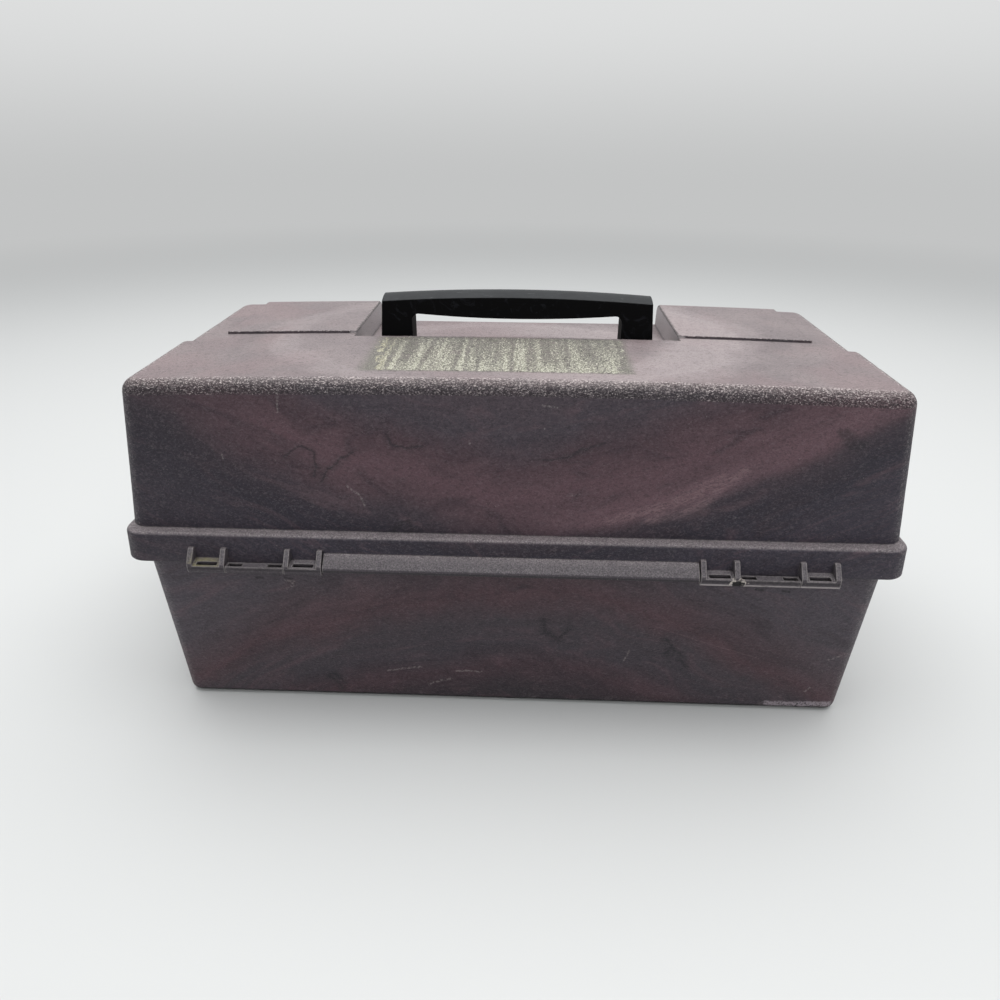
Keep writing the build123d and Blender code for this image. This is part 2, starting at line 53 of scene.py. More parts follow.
ahead = Vector((
    -math.sin(camera_yaw) * math.cos(camera_pitch),
    -math.cos(camera_yaw) * math.cos(camera_pitch),
    -math.sin(camera_pitch),
))
level_right = Vector((-math.cos(camera_yaw), math.sin(camera_yaw), 0))
level_up = level_right.cross(ahead)
right = math.cos(camera_roll) * level_right + math.sin(camera_roll) * level_up
up = right.cross(ahead)
lens = bpy.data.cameras.new("camera")
lens.sensor_width = 36
lens.lens = focal_pixels / frame_pixels * lens.sensor_width
camera = bpy.data.objects.new("camera", lens)
turn = Matrix((right, up, -ahead)).transposed().to_4x4()
camera.matrix_world = Matrix.Translation(camera_place) @ turn
scene.collection.objects.link(camera)
scene.camera = camera


# Base
# The tub is injection moulded in polypropylene fed as two colours at once, so that maroon and
# charcoal flow out from the gate under its floor in wide arcs. The skin has a leather grain,
# and years of handling have left hairline scratches and rubbed edges.
class Socket:
    """A node's output, so that shader maths reads as sums."""

    def __init__(self, finish, output):
        self.finish = finish
        self.output = output

    def math(self, operation, *values, clamp=False):
        settings = {"operation": operation, "use_clamp": clamp}
        return self.finish.node("ShaderNodeMath", settings, [self, *values])

    def __add__(self, other):
        return self.math("ADD", other)

    def __sub__(self, other):
        return self.math("SUBTRACT", other)

    def __mul__(self, other):
        return self.math("MULTIPLY", other)

    def __truediv__(self, other):
        return self.math("DIVIDE", other)

    def __pow__(self, other):
        return self.math("POWER", other)

    def __abs__(self):
        return self.math("ABSOLUTE")

    def __rsub__(self, other):
        return self.finish.node("ShaderNodeMath", {"operation": "SUBTRACT"}, [other, self])

    __radd__ = __add__
    __rmul__ = __mul__

    def between(self, low, high):
        """0 below low, 1 above high and smooth between them; it falls where low is the larger."""
        ends = [1.0, 0.0] if low > high else [0.0, 1.0]
        values = [self, min(low, high), max(low, high), *ends]
        return self.finish.node("ShaderNodeMapRange", {"interpolation_type": "SMOOTHSTEP"}, values)

    def band(self, middle, half, soft):
        """1 within half of the middle, falling to 0 over the soft width on both sides."""
        return abs(self - middle).between(half + soft, half)


class Finish:
    """A material in the making. Its place and sizes are in millimetres."""

    def __init__(self, name):
        self.material = bpy.data.materials.new(name)
        self.material.use_nodes = True
        self.tree = self.material.node_tree
        self.shader = self.tree.nodes["Principled BSDF"]
        metres, self.facing = self.node("ShaderNodeTexCoord", {}, [], ("Object", "Normal"))
        self.place = self.vector("SCALE", metres, Scale=1000)
        self.x, self.y, self.z = self.split(self.place)
        self.stray = None

    def node(self, kind, settings, inputs, output=0):
        """Adds a node, applies its settings, fills its sockets and gives an output, or several."""
        made = self.tree.nodes.new(kind)
        for key, value in settings.items():
            if key == "stops":
                self.set_stops(made.color_ramp, value)
            else:
                setattr(made, key, value)
        known = {socket.identifier: socket for socket in made.inputs}
        pairs = inputs.items() if isinstance(inputs, dict) else enumerate(inputs)
        for key, value in pairs:
            self.fill(known[key] if key in known else made.inputs[key], value)
        given = {socket.identifier: socket for socket in made.outputs}
        wanted = output if isinstance(output, tuple) else (output,)
        sockets = [Socket(self, given[key] if key in given else made.outputs[key]) for key in wanted]
        return sockets if isinstance(output, tuple) else sockets[0]

    def set_stops(self, ramp, stops):
        while len(ramp.elements) < len(stops):
            ramp.elements.new(0.5)
        for element, (place, color) in zip(ramp.elements, stops):
            element.position = place
            element.color = (*color, 1)

    def fill(self, socket, value):
        if isinstance(value, Socket):
            self.tree.links.new(value.output, socket)
        elif socket.type == "RGBA":
            socket.default_value = (*value, 1)
        else:
            socket.default_value = value

    def vector(self, operation, *vectors, output="Vector", **named):
        inputs = {**dict(enumerate(vectors)), **named}
        return self.node("ShaderNodeVectorMath", {"operation": operation}, inputs, output)

    def split(self, vector):
        return self.node("ShaderNodeSeparateXYZ", {}, [vector], (0, 1, 2))

    def join(self, *values):
        return self.node("ShaderNodeCombineXYZ", {}, values)

    def noise(self, size, detail=2, rough=0.5, twist=0.0, at=None):
        """Soft noise with features of about a size."""
        values = {"Scale": 1 / size, "Detail": detail, "Roughness": rough, "Distortion": twist}
        return self.node("ShaderNodeTexNoise", {}, {"Vector": at or self.place, **values})

    def mix(self, factor, first, second):
        inputs = {"Factor_Float": factor, "A_Color": first, "B_Color": second}
        return self.node("ShaderNodeMix", {"data_type": "RGBA"}, inputs, "Result_Color")

    def surface(self, **values):
        """Sets the shader's sockets; an underscore in a name stands for a space."""
        for key, value in values.items():
            self.fill(self.shader.inputs[key.replace("_", " ")], value)

    def bump(self, height, depth, strength, normal):
        inputs = {"Height": height, "Distance": depth / 1000, "Strength": strength, "Normal": normal}
        return self.node("ShaderNodeBump", {}, inputs, "Normal")

    def soft_edges(self, radius):
        """A normal that rounds sharp edges, and a mask that is 1 on them."""
        rounded = self.node("ShaderNodeBevel", {"samples": 6}, {"Radius": radius / 1000}, "Normal")
        true = self.node("ShaderNodeNewGeometry", {}, [], "Normal")
        likeness = self.vector("DOT_PRODUCT", rounded, true, output="Value")
        return rounded, likeness.between(1.0, 0.8)

    def painted_crevice_shade(self, reach):
        """Painted shade: 1 deep in the piece's own narrow slots and gaps, 0 in the open."""
        settings = {"samples": 6, "only_local": True}
        openness = self.node("ShaderNodeAmbientOcclusion", settings, {"Distance": reach / 1000}, "AO")
        return openness.between(0.58, 0.28)

    def from_lines(self, lines, wander):
        """Distance on the back wall to the nearest of some lines, each a run of (x, z) places."""
        front_of_wall, on_wall, too_far = 60, 75, 100
        if self.stray is None:
            elsewhere = self.vector("ADD", self.place, (61, 37, 83))
            aside, upward = self.noise(7, 3, 0.6), self.noise(7, 3, 0.6, at=elsewhere)
            self.stray = self.join(aside - 0.5, 0.0, upward - 0.5)
        strayed = self.vector("MULTIPLY_ADD", self.stray, (wander, wander, wander), self.place)
        flat = self.vector("MULTIPLY", strayed, (1, 0, 1))
        nearest = None
        for line in lines:
            for (x, z), (next_x, next_z) in zip(line, line[1:]):
                run = Vector((next_x - x, 0, next_z - z))
                offset = self.vector("SUBTRACT", flat, (x, 0, z))
                along = self.vector("DOT_PRODUCT", offset, run / run.length_squared, output="Value")
                foot = self.vector("SCALE", run, Scale=along.math("MINIMUM", 1, clamp=True))
                away = self.vector("DISTANCE", offset, foot, output="Value")
                nearest = away if nearest is None else nearest.math("MINIMUM", away)
        return nearest + self.y.between(on_wall, front_of_wall) * too_far


def tone(red, green, blue):
    """A colour given in screen values from 0 to 255, as a shader wants it."""
    return tuple(
        value / 255 / 12.92 if value < 11 else ((value / 255 + 0.055) / 1.055) ** 2.4
        for value in (red, green, blue)
    )


def swirl(finish, gate_height, stops):
    """The two colours' flow: its tone, its reach from the gate, and two wispy patterns along it."""
    sideways = 0.72
    full_reach = 280
    drift_span, curl_span = 38, 16
    fall = abs(finish.z - gate_height)
    reach = ((finish.x * sideways) ** 2 + finish.y ** 2).math("SQRT") + fall
    swing = (finish.x * sideways).math("ARCTAN2", finish.y)
    drift = (finish.noise(95, 2, 0.5, 0.4) - 0.5) * drift_span
    curl = (finish.noise(24, 3, 0.6, 1.2) - 0.5) * curl_span
    ramp = [(distance / full_reach, color) for distance, color in stops]
    share = (reach + drift + curl) / full_reach
    color = finish.node("ShaderNodeValToRGB", {"stops": ramp}, [share], "Color")
    ripple = ((finish.x + finish.z * 1.6) / 17).math("SINE") * 2.5
    bend = reach + ripple + ((finish.z * 1.3 - finish.x * 0.6) / 33).math("SINE") * 5
    folds = finish.noise(17, 4, 0.62, 1.4, finish.join(bend, swing * 60, finish.z / 4))
    color = finish.mix(folds.between(0.50, 0.74) * 0.38, color, tone(104, 80, 86))
    color = finish.mix(folds.between(0.50, 0.28) * 0.55, color, tone(44, 34, 42))
    wisps = finish.noise(5, 5, 0.62, 1.6, finish.join(bend, swing * 45, finish.z / 12))
    threads = finish.noise(1.3, 4, 0.65, 1.0, finish.join(bend, swing * 30, finish.z / 6))
    return color, reach, wisps, threads


def skin_grain(finish, color, normal, rounded):
    """Leather grain: wrinkles in the normal, with dull hollows and paler tips in the colour."""
    grain_depth = 0.7
    drawn_out = finish.join(finish.x / 1.6, finish.y, finish.z)
    wrinkles = finish.noise(1.05, 3, 0.68, 1.0, drawn_out)
    height = wrinkles + finish.noise(0.5, 2, 0.6) * 0.35
    across, along, up_facing = finish.split(finish.facing)
    corners = abs(across).between(0.2, 0.5) * abs(along).between(0.2, 0.5)
    worn = rounded + corners * 0.6
    color = finish.mix(height.between(0.67, 0.53) * 0.42, color, tone(26, 22, 27))
    color = finish.mix(height.between(0.69, 0.86) * 0.24, color, tone(126, 116, 120))
    color = finish.mix(height.between(0.66, 0.84) * worn * 0.5, color, tone(158, 150, 150))
    shallow = finish.bump(height, grain_depth, 0.9, normal)
    return color, finish.bump(height, grain_depth, rounded * 0.9, shallow)


def wear_material(node, material):
    """Puts one material in every slot of a carried-over node."""
    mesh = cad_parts[node].data
    if not mesh.materials:
        mesh.materials.append(material)
    for slot in range(len(mesh.materials)):
        mesh.materials[slot] = material


shell_gloss = 0.32


def chipped(finish, color):
    """The place beside the right hinge where a knuckle broke: a pale torn rim round a dark hole, whose
    dark is painted shade.
    """
    middle = (-122.0, 109.4, 105.4)
    radius = 3.9
    raggedness = 9
    away = finish.vector("DISTANCE", finish.place, middle, output="Value")
    ragged = away + (finish.noise(2.6, 5, 0.75) - 0.5) * raggedness
    torn_rim = ragged.band(radius, 0.5, 0.5) * finish.noise(1.8, 2).between(0.44, 0.52)
    color = finish.mix(torn_rim, color, tone(192, 184, 176))
    # Painted shade: the hole's dark centre.
    return finish.mix(ragged.between(radius - 0.4, radius - 0.9), color, tone(12, 10, 11))


def hinge_wear_and_painted_light(finish, color, edge):
    """Knuckles and rail: grained, bright where they rub; fronts darker as painted shade, tops paler as
    painted light.
    """
    rail_half, skirt_face, plate_top = 102, 103, 110
    groove_height, lip_height = 107.6, 105.1
    rail_top = abs(finish.x).between(rail_half + 1, rail_half - 1) * finish.z.between(111.5, 115.5)
    hinged = finish.y.between(skirt_face - 0.4, skirt_face + 0.8) * finish.z.between(123, 120)
    hinged = hinged * (1 - rail_top)
    up_facing = finish.split(finish.facing)[2]
    rubbed = finish.noise(2.4, 5, 0.75)
    specks = finish.noise(0.8, 3, 0.65)
    above_plate = finish.z.between(plate_top - 1, plate_top + 1)
    # Painted shade and painted light: fronts darker, most of all below the plate, and tops paler,
    # chosen by which way a face looks.
    front = finish.mix(above_plate, tone(66, 60, 65), tone(92, 86, 90))
    front = finish.mix(specks.between(0.52, 0.72) * 0.5, front, tone(140, 134, 135))
    top = finish.mix(specks.between(0.36, 0.70), tone(70, 66, 70), tone(120, 115, 118))
    worn = finish.mix(up_facing.between(0.15, 0.7), front, top)
    color = finish.mix(hinged * (0.55 + rubbed * 0.5), color, worn)
    # Painted shade: a dark line along the groove across the knuckles.
    painted_groove_shade = finish.z.band(groove_height, 0.4, 0.4) * hinged
    color = finish.mix(painted_groove_shade * 0.6, color, tone(26, 23, 26))
    lip = finish.z.band(lip_height, 0.8, 0.4) * hinged * rubbed.between(0.28, 0.46)
    lip = lip * finish.x.between(20, -60)
    color = finish.mix(lip * 0.8, color, tone(172, 164, 164))
    return finish.mix(edge * hinged * rubbed.between(0.3, 0.5) * 0.8, color, tone(176, 169, 168))


def handled_skin(finish, color, wisps, threads):
    """Wisps, pale threads and brushed specks, as on every wall of both shells."""
    cloud = finish.noise(34, 4, 0.6, 0.3)
    color = finish.mix(wisps.between(0.52, 0.74) * 0.24, color, tone(90, 71, 77))
    color = finish.mix(wisps.between(0.46, 0.28) * 0.30, color, tone(46, 42, 48))
    paler = threads.between(0.56, 0.76) * cloud.between(0.42, 0.62)
    color = finish.mix(paler * 0.18, color, tone(128, 112, 114))
    brushed = finish.noise(0.7, 2, 0.6, 0.3, finish.join(finish.x / 3.5, finish.y, finish.z))
    return finish.mix(brushed.between(0.54, 0.74) * cloud * 0.22, color, tone(122, 106, 112)), cloud


def base_scratches(finish, color, wisps):
    """Dark folds in the flow, ticks under the skirt, pale scratches and one long hairline."""
    dark_lines = [
        [(111, 17), (104, 8)],
        [(108, 19), (102, 11)],
        [(-92, 54), (-97, 47), (-103, 42)],
        [(-96, 50), (-94, 43)],
        [(-102, 39), (-106, 33)],
        [(-20, 66), (-21, 57), (-29, 52), (-35, 60)],
    ]
    ticks = [
        [(146, 92), (142, 91.8)],
        [(129, 91.8), (125, 91.4)],
        [(-138, 92.4), (-142, 92)],
        [(-153, 92), (-157, 91.2)],
    ]
    pale_lines = [
        [(75, 23), (65, 25), (54, 27)],
        [(32, 24), (26, 25), (17, 24)],
        [(50, 13), (36, 18)],
        [(129, 90), (124, 89), (126, 85), (129, 84)],
        [(-69, 37), (-72, 45)],
        [(-190, 42), (-198, 46)],
        [(-181, 16), (-183, 19)],
    ]
    long_scratch = [[(-85, 64), (-114, 53), (-150, 41)]]
    dark = finish.from_lines(dark_lines, 6.0)
    stained = dark.between(5, 0.5) * wisps.between(0.35, 0.6)
    color = finish.mix(stained * 0.6, color, tone(36, 34, 40))
    color = finish.mix(dark.between(1.5, 0.3) * 0.5, color, tone(30, 28, 33))
    ticked = finish.from_lines(ticks, 2.0).between(1.0, 0.3)
    color = finish.mix(ticked * 0.7, color, tone(26, 23, 27))
    broken = finish.noise(1.4, 3, 0.7).between(0.42, 0.60)
    pale = finish.from_lines(pale_lines, 3.0).between(1.1, 0.2) * broken
    color = finish.mix(pale * 0.55, color, tone(150, 140, 138))
    scratched = finish.from_lines(long_scratch, 1.6).between(0.5, 0.1)
    return finish.mix(scratched * (0.15 + broken * 0.25), color, tone(126, 104, 106))


def base_plastic():
    finish = Finish("base_plastic")
    stops = [
        # The first two stops make the tub darker towards the bottom.
        (60, tone(42, 36, 42)),
        (100, tone(48, 41, 47)),
        (122, tone(68, 49, 56)),
        (142, tone(59, 53, 60)),
        (162, tone(63, 56, 62)),
        (180, tone(77, 55, 61)),
        (196, tone(72, 58, 64)),
        (214, tone(70, 63, 70)),
        (240, tone(72, 66, 74)),
    ]
    foot_scrapes = [[(-160, 5.2), (-172, 5.0), (-186, 5.4), (-198, 6.0)]]
    color, reach, wisps, threads = swirl(finish, 0, stops)
    color, cloud = handled_skin(finish, color, wisps, threads)
    color = base_scratches(finish, color, wisps)

    normal, edge = finish.soft_edges(1.2)
    up_facing = finish.split(finish.facing)[2]
    above_rim = finish.z.between(98, 104)
    rubbed = finish.noise(4, 4, 0.7)
    # Painted light: the faces that look up above the rim are made paler.
    color = finish.mix(up_facing.between(0.3, 0.9) * above_rim * 0.75, color, tone(98, 92, 94))
    scraped_foot = finish.z.between(9, 2) * finish.noise(6, 5, 0.75).between(0.54, 0.66)
    color = finish.mix(scraped_foot * 0.35, color, tone(140, 132, 132))
    # Painted shade: faces that look down, under the foot's rounding, are darkened nearly to black.
    color = finish.mix(up_facing.between(-0.14, -0.45) * 0.95, color, tone(13, 11, 13))
    scrape = finish.from_lines(foot_scrapes, 3.0).between(3.0, 1.0)
    scrape = scrape * finish.noise(1.6, 3, 0.7).between(0.4, 0.5)
    color = finish.mix(scrape * 0.85, color, tone(160, 150, 156))
    color = finish.mix(edge * rubbed.between(0.36, 0.62) * 0.6, color, tone(128, 120, 120))
    color = hinge_wear_and_painted_light(finish, color, edge)
    color = chipped(finish, color)
    # Painted shade: the tub's own slots and gaps are darkened nearly to black.
    color = finish.mix(finish.painted_crevice_shade(4) * 0.95, color, tone(12, 10, 11))

    color, normal = skin_grain(finish, color, normal, edge)
    finish.surface(Base_Color=color, Roughness=0.47 + cloud * 0.12 - wisps * 0.06, Normal=normal)
    finish.surface(Specular_IOR_Level=shell_gloss)
    return finish.material


wear_material("base_tub", base_plastic())


# Lid
# The lid is moulded in the same two colours, with its gate in the middle of the top. The faces
# that look up have bleached and chalked, and their pale colour holds painted sheen as well. The
# grain along the top's edges is polished, with painted glints on its tips and painted shade in
# its hollows.
def lid_marks(finish, color, reach, wisps, threads):
    """The back wall's dark folds, its pink ridge and pale wisps, stains and short scratches."""
    dark_lines = [
        [(120, 168), (110, 174), (104, 170), (103, 162), (105, 157)],
        [(102, 154), (97, 161), (90, 167), (83, 171)],
        [(65, 181), (63, 176), (57, 174), (46, 175)],
        [(64, 127), (59, 131), (55, 133), (54, 127)],
        [(-16, 169), (-23, 169), (-30, 171), (-37, 175), (-48, 179)],
    ]
    black_stain = [[(-168, 186), (-172, 182), (-177, 180)]]
    pale_lines = [
        [(119, 207), (121, 192)],
        [(88, 152), (81, 146), (79, 141)],
        [(-30, 149), (-36, 150)],
        [(-15, 198), (-23, 197)],
        [(153, 168), (153, 166)],
        [(190, 172), (190, 171)],
        [(22, 178), (22, 177)],
    ]
    pale_wisps = [
        [(-53, 135), (-66, 139), (-83, 144), (-99, 151)],
        [(-74, 136), (-91, 140), (-103, 147), (-112, 157), (-122, 165)],
        [(-87, 148), (-99, 154), (-110, 161)],
    ]
    dark = finish.from_lines(dark_lines, 4.5)
    shaded = dark.between(4.5, 0.4) * wisps.between(0.4, 0.6)
    color = finish.mix(shaded * 0.45, color, tone(44, 38, 44))
    color = finish.mix(dark.between(1.0, 0.2) * 0.6, color, tone(34, 31, 36))
    ridge = reach.band(174, 3, 10) * finish.x.between(10, -50) * (0.4 + wisps)
    color = finish.mix(ridge * 0.5, color, tone(116, 88, 95))
    left_corner = finish.x.between(110, 175) * finish.y.between(60, 90) * (1 - wisps * 0.5)
    color = finish.mix(left_corner * 0.6, color, tone(40, 34, 42))
    stained = finish.from_lines(black_stain, 7.0).between(4.5, 1.5)
    color = finish.mix(stained * 0.5, color, tone(26, 25, 31))
    broken = finish.noise(1.4, 3, 0.7).between(0.42, 0.60)
    pale = finish.from_lines(pale_lines, 1.6).between(0.9, 0.2) * broken
    color = finish.mix(pale * 0.5, color, tone(150, 144, 142))
    drawn_out = finish.from_lines(pale_wisps, 3.5).between(4.2, 0.6) * threads.between(0.30, 0.66)
    return finish.mix(drawn_out * 0.45, color, tone(144, 118, 122))


def bleach_and_painted_sheen(finish, color, up_facing, high, reach, wisps, cloud):
    """Chalk on the top, with arcs of the flow and the label's film in it, and a dusty ledge; the pale
    tone is partly painted sheen.
    """
    arc_drift = 26
    arcs = reach + (finish.noise(30, 3, 0.6, 0.6) - 0.5) * arc_drift
    left_side = finish.x.between(-40, 40)
    chalk_arcs = arcs.band(82, 8, 12) * (1 - left_side * 0.8) + arcs.band(100, 3, 8) * 0.5
    # Partly chalk and bleaching, partly painted sheen: the pale tone of the faces that look up.
    chalk_and_sheen = finish.mix(cloud.between(0.38, 0.66), tone(134, 124, 125), tone(148, 137, 137))
    chalk_and_sheen = finish.mix(finish.noise(60, 2).between(0.45, 0.62) * 0.5, chalk_and_sheen, tone(150, 130, 131))
    chalk_and_sheen = finish.mix(chalk_arcs * (0.3 + wisps * 0.5), chalk_and_sheen, tone(186, 174, 174))
    scuffs = finish.noise(2.6, 6, 0.75, 1.8).between(0.57, 0.68)
    chalk_and_sheen = finish.mix(scuffs * 0.38, chalk_and_sheen, tone(188, 180, 179))
    dulled = finish.noise(5, 5, 0.7).between(0.46, 0.34)
    chalk_and_sheen = finish.mix(dulled * 0.22, chalk_and_sheen, tone(108, 98, 101))
    film = finish.x.between(-66, -60) * finish.x.between(86, 77)
    film = film * finish.y.between(3, 10) * finish.y.between(75, 70)
    stipple = finish.noise(0.75, 3, 0.7)
    film_tone = finish.mix(stipple.between(0.40, 0.62), tone(50, 52, 44), tone(160, 160, 145))
    chalk_and_sheen = finish.mix(film * (0.25 + finish.noise(4, 4, 0.7)), chalk_and_sheen, film_tone)
    color = finish.mix(up_facing.between(0.5, 0.98) * high * 0.92, color, chalk_and_sheen)
    # Dust on the ledge, and painted light: the faces that look up are paler.
    ledge_dust_and_light = up_facing.between(0.35, 0.9) * (1 - high) * (0.5 + finish.noise(6, 5, 0.7) * 0.6)
    ledge_tone = finish.mix(stipple.between(0.4, 0.66), tone(118, 110, 113), tone(172, 163, 164))
    return finish.mix(ledge_dust_and_light, color, ledge_tone)


def lid_plastic():
    finish = Finish("lid_plastic")
    lid_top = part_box("lid_shell")[1][2] * 1000
    roof_start = 170
    recess_half = 98
    stops = [
        (60, tone(74, 64, 70)),
        (96, tone(69, 59, 66)),
        (120, tone(62, 55, 63)),
        (138, tone(73, 53, 60)),
        (155, tone(90, 66, 73)),
        (172, tone(77, 57, 64)),
        (183, tone(57, 47, 55)),
        (200, tone(38, 35, 46)),
        (222, tone(50, 46, 57)),
    ]
    color, reach, wisps, threads = swirl(finish, lid_top, stops)
    color, cloud = handled_skin(finish, color, wisps, threads)
    color = lid_marks(finish, color, reach, wisps, threads)

    normal, edge = finish.soft_edges(1.2)
    up_facing = finish.split(finish.facing)[2]
    rounded_edge = up_facing.between(0.05, 0.35) * up_facing.between(1.0, 0.9)
    high = finish.z.between(roof_start, roof_start + 20)
    color = bleach_and_painted_sheen(finish, color, up_facing, high, reach, wisps, cloud)

    # Painted light: the recess's side walls beside the handle are made pale.
    recess_side_painted_light = abs(finish.x).band(recess_half, 3, 1.5) * finish.y.between(9, 3)
    recess_side_painted_light = recess_side_painted_light * finish.z.between(193, 197)
    color = finish.mix(recess_side_painted_light * (1 - up_facing) * 0.9, color, tone(188, 180, 181))
    color, normal = skin_grain(finish, color, normal, rounded_edge * high)
    specks = finish.noise(0.75, 3, 0.7, 0.4, finish.join(finish.x / 1.4, finish.y, finish.z))
    near_edge = up_facing.between(0.08, 0.22) * up_facing.between(1.0, 0.975) * high
    # Painted shade in the grain's hollows along the top's edges.
    hollows = specks.between(0.55, 0.42) * near_edge * (1.0 - up_facing * 0.65)
    color = finish.mix(hollows, color, tone(36, 29, 33))
    # Painted glints on the grain's tips along the top's edges.
    tips = (specks + up_facing * 0.07).between(0.57, 0.72) * near_edge
    color = finish.mix(tips * (0.42 + up_facing * 0.56), color, tone(226, 214, 211))

    rubbed = finish.noise(3, 5, 0.75)
    color = finish.mix(edge * rubbed.between(0.36, 0.6) * 0.65, color, tone(134, 126, 126))
    color = hinge_wear_and_painted_light(finish, color, edge)
    nicks = finish.noise(1.6, 3, 0.6).between(0.68, 0.74) * finish.noise(14, 2).between(0.5, 0.6)
    color = finish.mix(nicks * 0.35, color, tone(176, 170, 166))
    grime_place = (167.0, 107.0, 109.0)
    grime = finish.vector("DISTANCE", finish.place, grime_place, output="Value").between(11, 5)
    grime_top = up_facing.between(0.2, 0.6) * rubbed.between(0.3, 0.6)
    color = finish.mix(grime * grime_top * 0.6, color, tone(134, 128, 84))
    color = chipped(finish, color)
    # Painted shade: the lid's own slots and gaps are darkened nearly to black.
    color = finish.mix(finish.painted_crevice_shade(4) * 0.95, color, tone(12, 10, 11))

    finish.surface(Base_Color=color, Roughness=0.46 + cloud * 0.12 - tips * 0.15, Normal=normal)
    finish.surface(Specular_IOR_Level=shell_gloss)
    return finish.material


wear_material("lid_shell", lid_plastic())


# Label crust
# A paper label was glued on the lid's top behind the handle and has been torn off. Its glue and
# the paper's back are left as a thin greenish crust, drawn out into ridges by the rubbing. Right
# and left are as they are seen from behind the box, and sizes are in metres.
def crust_mesh():
    right_end, left_end = -0.0590, 0.0765
    right_slant, left_slant = 0.0075, -0.009
    front_y, back_y = 0.007, 0.072
    end_fray, side_fray = 0.004, 0.003
    step = 0.0006
    most_height = 0.0003
    sunk_height = -0.00025
    tears_a_metre, streaks_a_metre, crumbs_a_metre = 260, 330, 1370
    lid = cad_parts["lid_shell"].data
    lid_tree = BVHTree.FromPolygons([v.co for v in lid.vertices], [p.vertices for p in lid.polygons])

    def crust_height(x, y):
        """Whether a place is inside the torn edges, and the crust's height there: streaks along Y."""
        share = (y - front_y) / (back_y - front_y)
        right = right_end + right_slant * (share - 0.5)
        left = left_end + left_slant * (share - 0.5)
        ends = min(x - right, left - x) / end_fray
        sides = min(y - front_y, back_y - y) / side_fray
        torn = noise.noise(Vector((x, y * 0.6, 0)) * tears_a_metre) * 1.4
        inside = max(-1.0, min(ends + torn, sides + torn * 0.8, 1.0))
        streak = noise.noise(Vector((x * streaks_a_metre, y * 16, 7)))
        crumbs = noise.noise(Vector((x, y * 0.8, 1)) * crumbs_a_metre)
        return inside, streak * 1.1 + crumbs * 2.2 + (share - 0.72) * 0.8

    shape = bmesh.new()
    first = right_end - abs(right_slant) / 2
    columns = int((left_end + abs(left_slant) / 2 - first) / step)
    rows = int((back_y - front_y) / step)
    grid = {}
    for column in range(columns + 1):
        for row in range(rows + 1):
            x, y = first + column * step, front_y + row * step
            inside, height = crust_height(x, y)
            crusted = inside > 0 and height > 0
            above = most_height * min(height, 1.0) if crusted else sunk_height
            hit = lid_tree.ray_cast(Vector((x, y, 0.5)), Vector((0, 0, -1)))[0]
            grid[column, row] = (shape.verts.new((x, y, hit.z + above)), above)
    for column in range(columns):
        for row in range(rows):
            corners = [grid[column + a, row + b] for a, b in ((0, 0), (1, 0), (1, 1), (0, 1))]
            if max(above for corner, above in corners) > 0:
                shape.faces.new([corner for corner, above in corners])
    loose = [vert for vert in shape.verts if not vert.link_faces]
    bmesh.ops.delete(shape, geom=loose, context="VERTS")
    mesh = bpy.data.meshes.new("label_crust")
    shape.to_mesh(mesh)
    shape.free()
    for polygon in mesh.polygons:
        polygon.use_smooth = True
    return mesh


def glue_crust():
    finish = Finish("glue_crust")
    fibres = finish.noise(0.8, 4, 0.7, 0.4, finish.join(finish.x, finish.y / 1.5, finish.z))
    color = finish.mix(fibres.between(0.36, 0.62), tone(94, 94, 82), tone(202, 200, 184))
    color = finish.mix(finish.x.between(62, 78) * 0.4, color, tone(158, 150, 116))
    color = finish.mix(finish.noise(9, 3).between(0.5, 0.7) * 0.3, color, tone(142, 140, 126))
    normal = finish.node("ShaderNodeNewGeometry", {}, [], "Normal")
    finish.surface(Base_Color=color, Roughness=0.85, Normal=finish.bump(fibres, 0.1, 0.6, normal))
    return finish.material


label_crust = bpy.data.objects.new("label_crust", crust_mesh())
label_crust.data.materials.append(glue_crust())
scene.collection.objects.link(label_crust)
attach(label_crust, "lid")


# Handle
# The carrying handle is a separate black moulding with a satin skin. It turns on two short steel
# pins in the lid's recess, and its top has gone grey from the hand.
def black_plastic(name, dusted, rough):
    finish = Finish(name)
    normal, edge = finish.soft_edges(1.0)
    up_facing = finish.split(finish.facing)[2]
    cloud = finish.noise(18, 4, 0.65)
    greyed = up_facing.between(0.3, 0.95) * (0.4 + cloud * 0.8) * dusted
    color = finish.mix(greyed, tone(4, 4, 5), tone(80, 82, 84))
    smears = finish.noise(9, 5, 0.7, 1.5).between(0.54, 0.68) * (1 - up_facing.between(-0.2, 0.2))
    color = finish.mix(smears * 0.16, color, tone(92, 94, 104))
    scratches = finish.noise(1.1, 4, 0.7, 0.0, finish.join(finish.x / 7, finish.y, finish.z))
    scratched_top = scratches.between(0.62, 0.72) * up_facing.between(0.2, 0.8)
    color = finish.mix(scratched_top * 0.25, color, tone(150, 152, 154))
    rubbed_edge = edge * finish.noise(3, 4, 0.7).between(0.45, 0.62)
    color = finish.mix(rubbed_edge * 0.2, color, tone(92, 92, 94))
    fine = finish.noise(0.7, 3, 0.6)
    roughness = rough + cloud * 0.12 + up_facing.between(0.5, 0.1) * 0.2
    finish.surface(Base_Color=color, Roughness=roughness, Normal=finish.bump(fine, 0.06, 0.35, normal))
    finish.surface(Specular_IOR_Level=0.08)
    return finish.material


wear_material("handle", black_plastic("handle_black", 0.55, 0.40))


# Latch
# One wide latch hangs on a steel pin at the front of the lid and snaps under a lip on the base.
# It is moulded in the handle's black plastic and is less worn.
wear_material("latch", black_plastic("latch_black", 0.3, 0.42))


